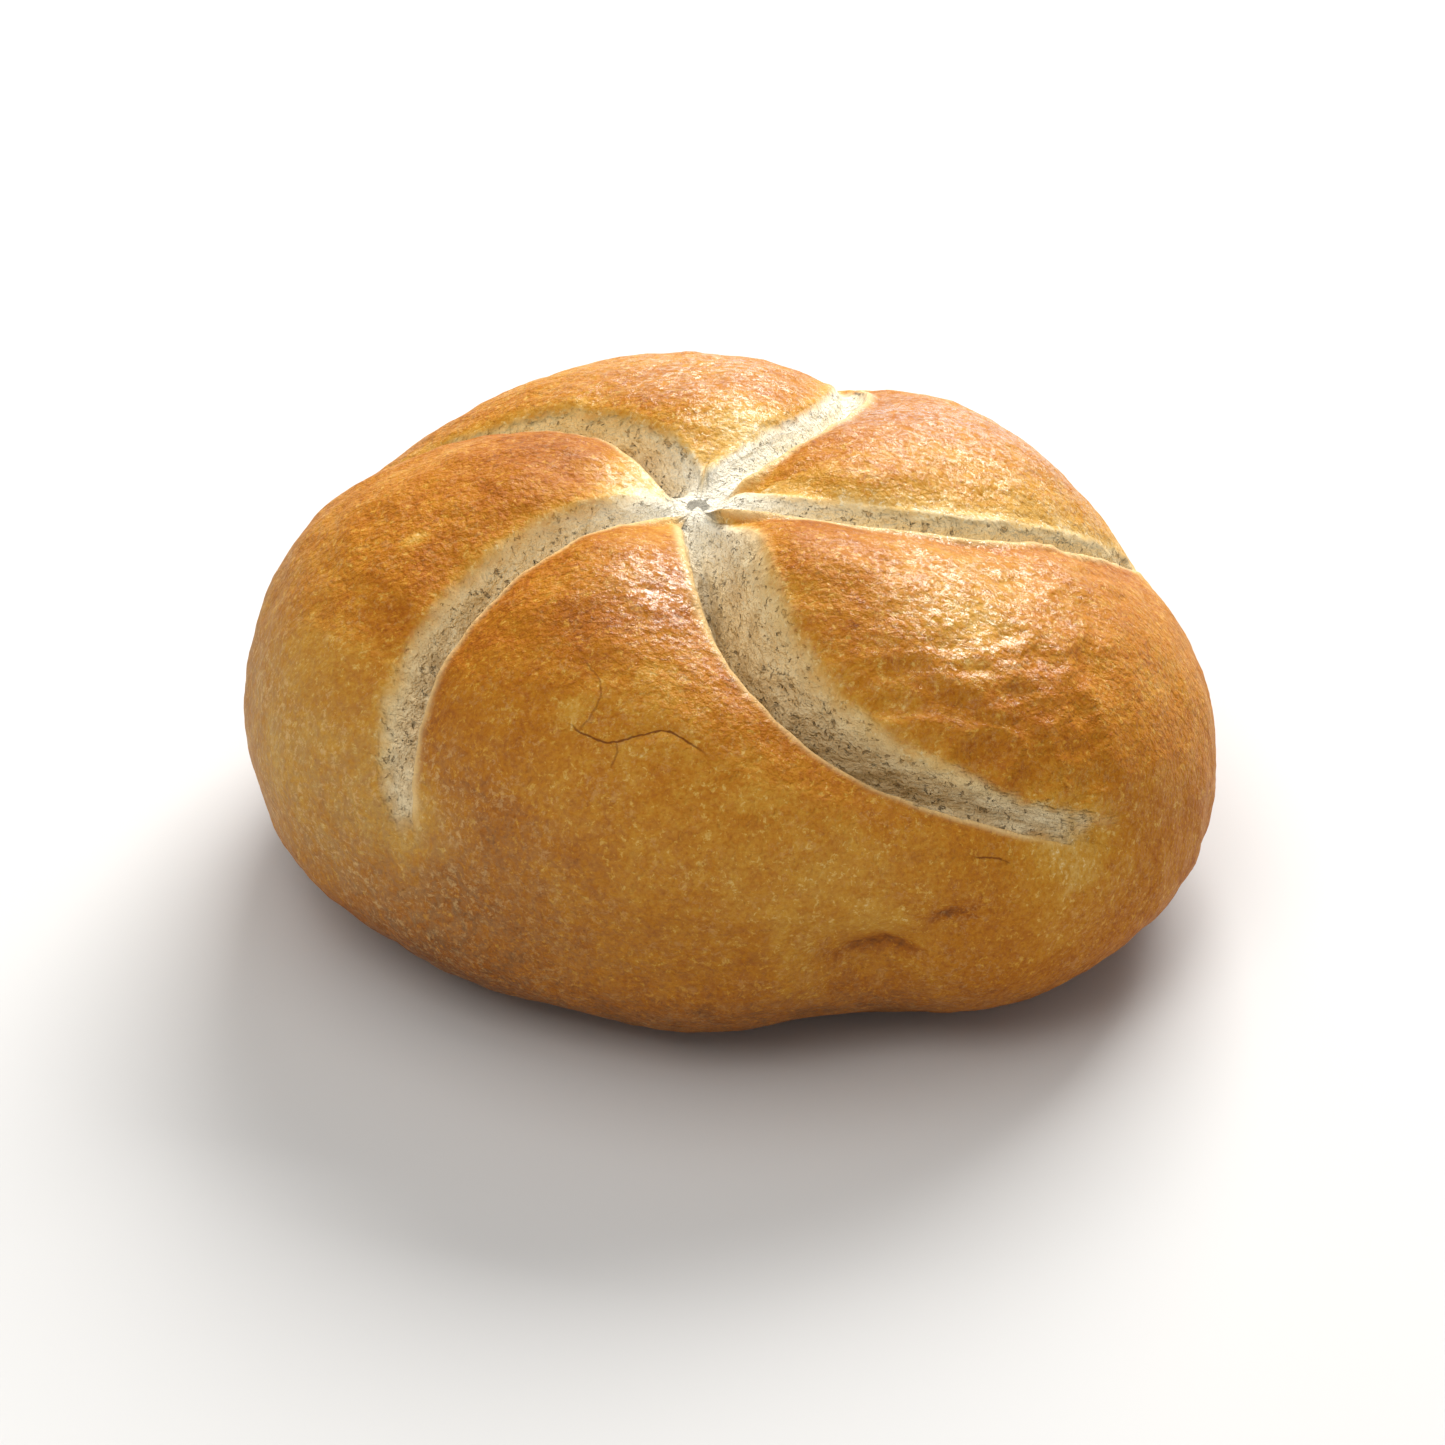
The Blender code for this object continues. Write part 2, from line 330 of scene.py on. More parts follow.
def places_by_cut(azimuth, way):
    """How each place lies to the nearest cut: how far past its lip, how open the cut is there,
    whether that wall is the steep one, the petal, the place across the cut, which cut, how far up
    its wall, and how near the cut's end."""
    count = len(azimuth)
    past, climb, gone = np.ones(count), np.ones(count), np.ones(count)
    opening, steep, across = np.zeros(count), np.zeros(count), np.zeros(count)
    petal_of, cut_of = np.zeros(count, int), np.zeros(count, int)
    for petal, cut in enumerate(CUTS):
        next_cut = (petal + 1) % len(CUTS)
        start, end = cut_azimuth(cut, way), cut_azimuth(CUTS[next_cut], way)
        if next_cut == 0:
            end = end + FULL_TURN
        share = np.mod(azimuth - start, FULL_TURN) / (end - start)
        inside = share < 1.0
        petal_of[inside] = petal
        petal_width = dome_radius(0.5 * (start + end), way) * (end - start)
        from_cut, to_next = share * petal_width, (1.0 - share) * petal_width
        for edge_of, side, distance in ((petal, 1, from_cut), (next_cut, -1, to_next)):
            edge = CUTS[edge_of]
            width = wall_width(edge, side, way, petal_width)
            beyond = distance - CUT_FLOOR - width
            is_steep = side == edge.steep_side
            full = np.minimum(edge.steep_wall if is_steep else edge.broad_wall, petal_width * TIP_WALL)
            climbed = np.clip((distance - CUT_FLOOR) / width, 0.0, 1.0) + np.maximum(beyond, 0.0) / 0.003
            nearer = inside & (beyond < past)
            past[nearer] = beyond[nearer]
            opening[nearer] = (1.0 - blend(CUT_CLOSING, 1.0, way / edge.reach))[nearer]
            steep[nearer] = float(is_steep)
            across[nearer] = (side * distance)[nearer]
            cut_of[nearer] = edge_of
            climb[nearer] = (climbed if is_steep else distance / full)[nearer]
            gone[nearer] = (way / edge.reach)[nearer]
    return past, opening, steep, petal_of, across, cut_of, climb, gone


def noise_at(points, size, octaves, stretch=(1.0, 1.0, 1.0), seed=0.0):
    """Smooth noise between -1 and 1 at each point, with lumps of about this size."""
    scaled = points * (np.array(stretch) / size) + seed
    return np.array([noise.fractal(p, 0.9, 2.0, octaves) for p in scaled])


def camera_view(distance, elevation):
    """Where the camera stands, and how it is turned."""
    back = Vector((0.0, -math.cos(elevation), math.sin(elevation)))
    upward = Vector((0.0, math.sin(elevation), math.cos(elevation)))
    place = CAMERA_TARGET + back * distance
    aim = CAMERA_TARGET + Vector((-AIM_LEFT, 0.0, 0.0)) - upward * AIM_DOWN
    return place, (aim - place).to_track_quat("-Z", "Y")


def seen_place(photo_point):
    """The place of the solid, in millimetres, that a point of the photograph shows."""
    across, down = photo_point
    pixel = SENSOR_WIDTH / CAMERA_LENS / PHOTO_WIDTH
    eye, turn = camera_view(CAMERA_DISTANCE, CAMERA_ELEVATION)
    middle = 0.5 * PHOTO_WIDTH
    ray = turn @ Vector(((across - middle) * pixel, (middle - down) * pixel, -1.0))
    found, place, _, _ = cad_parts["kaiser_roll"].ray_cast(eye, ray)
    if not found:
        raise ValueError(f"the roll isn't seen at {photo_point}")
    return [coordinate / MILLIMETRE for coordinate in place]


def line_distance(points, normals, line):
    """Signed distance from a line through points of the photograph, taken along the surface, and
    how far along it, as a share."""
    line = np.array([seen_place(point) for point in line]) * MILLIMETRE
    best = np.full(len(points), 1.0)
    signed, along = best.copy(), np.zeros(len(points))
    for i, (a, b) in enumerate(zip(line[:-1], line[1:])):
        run = b - a
        share = np.clip(((points - a) @ run) / (run @ run), 0.0, 1.0)
        away = points - a - share[:, None] * run
        far = np.linalg.norm(away, axis=1)
        away = away - normals * np.sum(away * normals, axis=1)[:, None]
        side = np.sign(np.sum(np.cross(run, normals) * away, axis=1))
        distance = np.where(far > 0.006, far, np.linalg.norm(away, axis=1))
        nearer = distance < best
        best[nearer] = distance[nearer]
        signed[nearer] = (distance * side)[nearer]
        along[nearer] = (i + share)[nearer]
    return signed, along / (len(line) - 1)


def nearness(points, mark, spread):
    """1 at a mark, and falling off over its spread."""
    place = np.array(seen_place(mark) if len(mark) == 2 else mark)
    away = np.linalg.norm(points - place * MILLIMETRE, axis=1) / (spread * MILLIMETRE)
    return np.exp(-away * away)


def deselect_all():
    if bpy.context.object is not None and bpy.context.object.mode != "OBJECT":
        bpy.ops.object.mode_set(mode="OBJECT")
    bpy.ops.object.select_all(action="DESELECT")


def vectors_of(mesh, kind):
    """The places or the normals of a mesh's vertices, one row each."""
    source = mesh.vertices if kind == "co" else mesh.vertex_normals
    flat = np.zeros(len(mesh.vertices) * 3, np.float32)
    source.foreach_get("co" if kind == "co" else "vector", flat)
    return flat.reshape(-1, 3).astype(float)


def set_attribute(mesh, name, values):
    kind, part = ("FLOAT", "value") if values.ndim == 1 else ("FLOAT_VECTOR", "vector")
    attribute = mesh.attributes.new(name, kind, "POINT")
    attribute.data.foreach_set(part, values.astype(np.float32).ravel())


def fine_copy_of_solid(name):
    """A copy of the solid's mesh with its grid of quads back, and a surface four times as fine."""
    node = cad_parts["kaiser_roll"]
    piece = bpy.data.objects.new(name, node.data.copy())
    piece.data.materials.clear()
    bpy.context.scene.collection.objects.link(piece)
    deselect_all()
    bpy.context.view_layer.objects.active = piece
    piece.select_set(True)
    bpy.ops.object.mode_set(mode="EDIT")
    bpy.ops.mesh.select_all(action="SELECT")
    bpy.ops.mesh.customdata_custom_splitnormals_clear()
    bpy.ops.mesh.remove_doubles(threshold=1e-6)
    bpy.ops.mesh.tris_convert_to_quads(face_threshold=math.pi, shape_threshold=math.pi)
    bpy.ops.mesh.select_all(action="DESELECT")
    bpy.ops.object.mode_set(mode="OBJECT")
    for polygon in piece.data.polygons:
        polygon.select = polygon.center.z < 1e-5
    bpy.ops.object.mode_set(mode="EDIT")
    bpy.ops.mesh.select_mode(type="FACE")
    bpy.ops.mesh.dissolve_faces()
    for thickness in FOOT_INSETS:
        bpy.ops.mesh.inset(thickness=thickness)
    bpy.ops.mesh.select_all(action="DESELECT")
    bpy.ops.object.mode_set(mode="OBJECT")
    finer = piece.modifiers.new("finer", "SUBSURF")
    finer.levels = finer.render_levels = 2
    bpy.ops.object.modifier_apply(modifier="finer")
    bpy.ops.object.shade_smooth()
    return piece


def dress_mesh(piece, settings):
    """Gives the copy its crust, crumb and cracks, and writes down where each of them lies."""
    mesh = piece.data
    points, normals = vectors_of(mesh, "co"), vectors_of(mesh, "normal")
    azimuth, way, depth = find_places(points)
    past, opening, steep, petal, across, cut_of, climb, gone = places_by_cut(azimuth, way)
    from_hub = np.hypot(points[:, 0] - HUB[0], points[:, 1] - HUB[1])
    at_hub = 1.0 - blend(HUB_FLAT, HUB_BLENDED, from_hub)

    # Where the torn crumb shows, and the thin pale rim of the lip over it, partly a painted highlight
    ragged = RAGGEDNESS * noise_at(points, RAGGED_SIZE, 2)
    near_end = gone * np.where(cut_of == SHORT_CUT, SHORT_CUT_STRETCH, 1.0) + 0.3 * ragged
    not_gone = 1.0 - blend(*CRUMB_END, near_end)
    top = np.where(steep > 0.5, STEEP_CRUMB_TOP, np.array(CRUMB_TOP)[cut_of])
    soft = np.where(steep > 0.5, STEEP_CRUMB_SOFTNESS, np.array(CRUMB_SOFTNESS)[cut_of])
    tapered = np.array(END_TAPER)[cut_of] * blend(0.75, 1.0, gone)
    narrowed = climb + ragged * (1.0 + blend(0.6, 0.9, gone)) + tapered
    crumb = not_gone * (1.0 - blend(top - soft, top + soft, narrowed))
    crumb = np.maximum(crumb, at_hub)
    rim = not_gone * steep * np.exp(-((past - RIM_PAST_LIP) / RIM_WIDTH) ** 2)
    rim *= blend(0.002, 0.007, from_hub)

    # How far the crust is baked, with painted shade low down and along the dents' creases, and a few
    # painted highlights among the spots
    open_here, outside = blend(0.0, 0.5, opening), np.maximum(past, 0.0)
    lip = open_here * np.exp(-outside / LIP_SPREAD) * (1.0 - crumb)
    lip *= np.where(steep > 0.5, 1.0, np.array(LIP_BAKE)[cut_of])
    # Darker low down: partly baking, partly painted shade
    bake = settings.bake + LIP_BAKING * lip + LOW_BAKE_AND_SHADE * blend(0.85, 1.5, way)
    bake -= HUB_PALENESS * np.exp(-(from_hub / HUB_SPREAD) ** 2)
    bake -= BROAD_LIP_PALENESS * (1.0 - steep) * open_here * np.exp(-outside / BROAD_LIP_SPREAD)
    for cut in CUTS:
        reach = np.array([cut.reach])
        end = dome_points(cut_azimuth(cut, reach), reach)[0] / MILLIMETRE
        bake -= CUT_END_PALENESS * nearness(points, end, CUT_END_SPREAD)
    for spot in SPOTS:
        bake += spot.bake * nearness(points, spot.mark, spot.spread)
    bake += BAKE_UNEVENNESS * noise_at(points, BAKE_PATCH_SIZE, 2, seed=23.0)

    # Relief of the crust, then of the crumb
    small_lumps = SMALL_LUMP_SHARE * noise_at(points, SMALL_LUMP_SIZE, 2, seed=7.0)
    height = settings.lump_height * (noise_at(points, LUMP_SIZE, 3) + small_lumps)
    wrinkled = (petal == WRINKLED_PETAL) * blend(0.30, 0.55, way) * (1.0 - blend(0.75, 1.10, way))
    wrinkled *= 1.0 - blend(0.033, 0.041, points[:, 0])
    ridges = 1.0 - 2.5 * np.abs(noise_at(points, WRINKLE_SIZE, 3, WRINKLE_STRETCH, 3.0))
    height += settings.wrinkle_height * wrinkled * ridges
    height *= (1.0 - blend(1.55, 1.9, way)) * (1.0 - crumb)
    torn = 0.5 * noise_at(points, TORN_SIZE, 3, seed=11.0) - 0.6 * (1.0 - opening)
    height += settings.torn_depth * crumb * torn * (1.0 - at_hub) * np.array(CRUMB_RELIEF)[cut_of]
    height += RIM_HEIGHT * rim
    for hollow in HOLLOWS:
        height -= settings.dent_depth * hollow.share * nearness(points, hollow.mark, hollow.spread)
    for line in CREASES:
        signed, along = line_distance(points, normals, line)
        crease = np.exp(-(signed / CREASE_WIDTH) ** 2) * np.clip(np.sin(math.pi * along), 0.0, 1.0) ** 0.5
        height -= CREASE_SHARE * settings.dent_depth * crease
        # Painted shade along the dents' creases
        bake += CREASE_PAINTED_SHADE * crease
    for i, (line, strength) in enumerate(CRACKS):
        signed, along = line_distance(points, normals, line)
        ends = strength * blend(0.0, 0.10, along) * (1.0 - blend(0.85, 1.0, along))
        height -= settings.crack_depth * np.exp(-(signed / CRACK_GROOVE) ** 2) * ends
        set_attribute(mesh, f"crack_{i}", np.stack((signed, ends, along), 1))

    # The hub is filled up, and so are the cuts that the light reaches least
    outward = dome_normals(azimuth, way)
    filling = np.array(CUT_FILLING)[cut_of] * (1.0 - blend(0.0, 0.0015, past))
    lift = at_hub * (depth - HUB_DEPTH) + (1.0 - at_hub) * filling * np.maximum(depth - FILLED_BELOW, 0.0)
    moved = points + normals * height[:, None] + outward * lift[:, None]
    mesh.vertices.foreach_set("co", moved.astype(np.float32).ravel())
    mesh.update()

    set_attribute(mesh, "crumb", crumb)
    set_attribute(mesh, "bake", bake)
    set_attribute(mesh, "rim", rim)
    set_attribute(mesh, "climb", climb + WARM_CUT_CLIMB * (cut_of == WARM_CUT))
    # Painted light: the crumb at the hub and in the cuts that catch the most light is made brighter
    hub_painted_light = np.exp(-(from_hub / 0.010) ** 2)
    set_attribute(mesh, "bright", np.clip(hub_painted_light + np.array(CRUMB_PAINTED_LIGHT)[cut_of], 0.0, 1.0))
    shine = np.max([spot.much * nearness(points, spot.mark, spot.spread) for spot in SHINES], axis=0)
    set_attribute(mesh, "shine", LEAST_SHINE + (1.0 - LEAST_SHINE) * shine)
    leftward = blend(-0.010, -0.040, points[:, 0]) * blend(0.45, 0.80, way)
    leftward *= 1.0 - 0.9 * blend(1.0, 1.3, way)
    set_attribute(mesh, "flecked", 0.25 + 0.55 * leftward)
    dusty = 0.08 * blend(0.035, 0.010, points[:, 0]) + 0.05 * blend(1.0, 1.4, way)
    dusty += 0.20 * blend(0.0, -0.038, points[:, 0]) * (1.0 - 0.95 * blend(0.98, 1.25, way))
    set_attribute(mesh, "dusty", dusty * blend(0.45, 0.85, way))
    set_attribute(mesh, "cut_place", np.stack((across, way * BELLY_RADIUS, cut_of), 1))


class Nodes:
    """Adds nodes to a node tree, with their settings and what feeds their inputs."""

    def __init__(self, tree):
        self.tree = tree

    def add(self, kind, feeds=None, **settings):
        node = self.tree.nodes.new("ShaderNode" + kind)
        for name, value in settings.items():
            setattr(node, name, value)
        for socket, value in (feeds or {}).items():
            self.feed(node.inputs[socket], value)
        return node

    def feed(self, socket, value):
        if isinstance(value, bpy.types.NodeSocket):
            self.tree.links.new(value, socket)
        else:
            socket.default_value = value

    def math(self, operation, *values):
        return self.add("Math", dict(enumerate(values)), operation=operation).outputs[0]

    def attribute(self, name, output="Fac"):
        return self.add("Attribute", attribute_name=name).outputs[output]

    def noise(self, vector, scale, detail=3.0, roughness=0.55, distortion=0.0):
        feeds = {"Vector": vector, "Scale": scale, "Detail": detail, "Roughness": roughness,
                 "Distortion": distortion}
        return self.add("TexNoise", feeds).outputs["Fac"]

    def step(self, value, low, high, to_low=0.0, to_high=1.0):
        feeds = {"Value": value, "From Min": low, "From Max": high, "To Min": to_low, "To Max": to_high}
        return self.add("MapRange", feeds, interpolation_type="SMOOTHSTEP").outputs["Result"]

    def mix(self, factor, a, b):
        return self.add("Mix", {0: factor, 6: a, 7: b}, data_type="RGBA").outputs[2]

    def mix_values(self, factor, a, b):
        return self.add("Mix", {0: factor, 2: a, 3: b}, data_type="FLOAT").outputs[0]

    def group(self, tree, feeds):
        node = self.add("Group", node_tree=tree)
        for socket, value in feeds.items():
            self.feed(node.inputs[socket], value)
        return node.outputs["Mask"]

    def bump(self, height, distance, normal=None):
        feeds = {"Height": height, "Distance": distance, "Strength": 1.0}
        if normal is not None:
            feeds["Normal"] = normal
        return self.add("Bump", feeds).outputs["Normal"]

    def stretch(self, vector, scale):
        return self.add("Mapping", {"Vector": vector, "Scale": scale}).outputs["Vector"]


def srgb(red, green, blue):
    """A colour given as a screen shows it, 0 to 255, as Blender mixes it."""
    def linear(value):
        value /= 255.0
        return value / 12.92 if value <= 0.04045 else ((value + 0.055) / 1.055) ** 2.4
    return (linear(red), linear(green), linear(blue), 1.0)


def new_group(name, inputs):
    """An empty node group that takes these inputs and gives one mask."""
    tree = bpy.data.node_groups.new(name, "ShaderNodeTree")
    for socket, kind, default in inputs:
        made = tree.interface.new_socket(socket, in_out="INPUT", socket_type="NodeSocket" + kind)
        if default is not None:
            made.default_value = default
    tree.interface.new_socket("Mask", in_out="OUTPUT", socket_type="NodeSocketFloat")
    return tree


def speckle_group():
    """Specks where a noise is between two limits."""
    inputs = (("Place", "Vector", None), ("Scale", "Float", 1000.0), ("Roughness", "Float", 0.6),
              ("None Below", "Float", 0.5), ("Full Above", "Float", 0.6))
    tree = new_group("speckle", inputs)
    make = Nodes(tree)
    given = tree.nodes.new("NodeGroupInput").outputs
    specks = make.noise(given["Place"], given["Scale"], 3.0, given["Roughness"], 0.4)
    mask = make.step(specks, given["None Below"], given["Full Above"])
    make.feed(tree.nodes.new("NodeGroupOutput").inputs["Mask"], mask)
    return tree


def crack_group():
    """A thin wavering line where the signed distance in a crack's attribute passes 0."""
    inputs = (("Line", "Vector", None), ("Wobble", "Float", 0.0), ("Width", "Float", 0.00015))
    tree = new_group("crack_line", inputs)
    make = Nodes(tree)
    given = tree.nodes.new("NodeGroupInput").outputs
    parts = make.add("SeparateXYZ", {"Vector": given["Line"]}).outputs
    away = make.math("ABSOLUTE", make.math("ADD", parts["X"], given["Wobble"]))
    line = make.step(away, make.math("MULTIPLY", given["Width"], 0.25), given["Width"], 0.85, 0.0)
    make.feed(tree.nodes.new("NodeGroupOutput").inputs["Mask"], make.math("MULTIPLY", line, parts["Y"]))
    return tree


def roll_material(settings):
    material = bpy.data.materials.new("baked_crust_and_crumb")
    material.use_nodes = True
    tree = material.node_tree
    surface = tree.nodes["Principled BSDF"]
    make = Nodes(tree)
    speckle, crack_line = speckle_group(), crack_group()
    place = make.add("TexCoord").outputs["Object"]
    crumb, bake, rim = make.attribute("crumb"), make.attribute("bake"), make.attribute("rim")

    def specks(scale, low, high, roughness=0.6):
        feeds = {"Place": place, "Scale": scale, "Roughness": roughness, "None Below": low,
                 "Full Above": high}
        return make.group(speckle, feeds)

    # Crust, from pale to dark by how far it is baked, with the painted shade and highlights that
    # come with the baking
    patches = make.noise(place, PATCH_SCALE, 4.0, 0.6, 0.8)
    mottle = make.noise(place, MOTTLE_SCALE, 4.0, 0.7, 0.6)
    fine = make.noise(place, GRAIN_SCALE, 2.0, 0.6)
    granules = specks(GRANULE_SCALE, 0.56, 0.66, 0.75)
    tone = make.math("MULTIPLY_ADD", patches, PATCH_TONE, bake)
    tone = make.math("MULTIPLY_ADD", mottle, MOTTLE_TONE, tone)
    tone = make.math("MULTIPLY_ADD", fine, GRAIN_TONE, tone)
    tone = make.math("MULTIPLY_ADD", granules, GRANULE_TONE, tone)
    tone = make.math("SUBTRACT", tone, MEAN_TONE)
    ramp = make.add("ValToRGB", {"Fac": tone})
    elements = ramp.color_ramp.elements
    elements[0].color, elements[1].color = settings.crust_pale, settings.crust_dark
    for position, colour in ((0.22, settings.crust_yellow), (0.42, settings.crust_golden),
                             (0.60, settings.crust_orange), (0.78, settings.crust_brown)):
        elements.new(position).color = colour
    fleck_field = specks(FLECK_FIELD_SCALE, 0.38, 0.58)
    flecks = make.math("MULTIPLY", specks(FLECK_SCALE, 0.50, 0.66, 0.80), fleck_field)
    flecked = make.math("MULTIPLY", make.attribute("flecked"), settings.flecks)
    flecks = make.math("MULTIPLY", flecks, flecked)
    dusty = make.math("MULTIPLY", make.attribute("dusty"), make.step(mottle, 0.35, 0.65, 0.5, 1.5))
    crust = make.mix(dusty, ramp.outputs["Color"], settings.dust_colour)
    crust = make.mix(flecks, crust, settings.fleck_colour)

    # Crumb, torn into strands across the cuts and pitted. Its pits are darkened as painted shade, and
    # its darker strands are partly painted shade of the torn relief
    in_cut = make.stretch(make.attribute("cut_place", "Vector"), (1.0, 0.5, 1.0))
    strands = make.noise(in_cut, STRAND_SCALE, 3.0, 0.7)
    pits = specks(PIT_SCALE, 0.60, 0.68, 0.65)
    crumb_colour = make.mix(make.step(strands, 0.36, 0.64), settings.crumb_shade, settings.crumb_light)
    climb = make.step(make.attribute("climb"), 0.45, 1.05, 0.0, 0.6)
    crumb_colour = make.mix(climb, crumb_colour, settings.crumb_edge)
    # Painted light: the crumb is brightened where it catches the light, at the hub and in the lit cuts
    crumb_colour = make.mix(make.attribute("bright"), crumb_colour, settings.painted_light_crumb_colour)
    # Painted shade in the pits of the crumb, less where the crumb is painted bright
    painted_pit_shade = make.math("MULTIPLY", pits, make.step(make.attribute("bright"), 0.1, 1.0, 0.45, 0.05))
    crumb_colour = make.mix(painted_pit_shade, crumb_colour, settings.pit_shade_colour)
    colour = make.mix(crumb, crust, crumb_colour)
    # The pale rim of the sharp lips: partly its own colour, partly a painted highlight
    colour = make.mix(make.math("MULTIPLY", rim, 0.85), colour, settings.rim_and_highlight_colour)
    wavering = make.noise(place, WOBBLE_SCALE, 2.0)
    wobble = make.math("MULTIPLY_ADD", wavering, 2.0 * WOBBLE_REACH, -WOBBLE_REACH)
    # Painted shade in the fine cracks
    for i in range(len(CRACKS)):
        feeds = {"Line": make.attribute(f"crack_{i}", "Vector"), "Wobble": wobble,
                 "Width": settings.crack_width}
        colour = make.mix(make.group(crack_line, feeds), colour, settings.crack_shade_colour)
    make.feed(surface.inputs["Base Color"], colour)
    surface.inputs["Specular IOR Level"].default_value = 0.08
    crust_roughness = make.step(patches, 0.35, 0.7, 0.50, 0.62)
    make.feed(surface.inputs["Roughness"], make.mix_values(crumb, crust_roughness, 0.9))

    # Small glints where the crust shines
    glints = make.math("MULTIPLY_ADD", specks(GRANULE_SCALE, 0.43, 0.53, 0.75), 0.97, 0.03)
    gloss = make.math("MULTIPLY", glints, make.math("MULTIPLY", make.attribute("shine"), settings.shine))
    make.feed(surface.inputs["Coat Weight"], make.mix_values(crumb, gloss, 0.0))
    surface.inputs["Coat Roughness"].default_value = 0.07
    surface.inputs["Coat IOR"].default_value = 1.6

    skin = make.bump(make.noise(place, SKIN_SCALE, 4.0, 0.66), SKIN_BUMP)
    blisters = make.add("TexVoronoi", {"Vector": place, "Scale": BLISTER_SCALE}, feature="F1")
    raised = make.math("MULTIPLY", blisters.outputs["Distance"], -1.0)
    grained = make.bump(fine, GRAIN_BUMP, make.bump(raised, BLISTER_BUMP, skin))
    torn = make.math("MULTIPLY_ADD", strands, 0.5, make.noise(place, TORN_SCALE, 4.0, 0.72))
    torn = make.math("MULTIPLY", make.math("MULTIPLY_ADD", pits, -0.5, torn), crumb)
    make.feed(surface.inputs["Normal"], make.bump(torn, TORN_BUMP, grained))
    make.feed(surface.inputs["Coat Normal"], make.bump(mottle, COAT_BUMP, skin))
    return material


def floor_material(colour):
    material = bpy.data.materials.new("pale_table")
    material.use_nodes = True
    surface = material.node_tree.nodes["Principled BSDF"]
    make = Nodes(material.node_tree)
    place = make.add("TexCoord").outputs["Object"]
    shade = make.mix(make.noise(place, 6.0, 2.0), colour, tuple(c * 0.985 for c in colour[:3]) + (1.0,))
    make.feed(surface.inputs["Base Color"], shade)
    surface.inputs["Roughness"].default_value = 0.8
    surface.inputs["Specular IOR Level"].default_value = 0.1
    return material


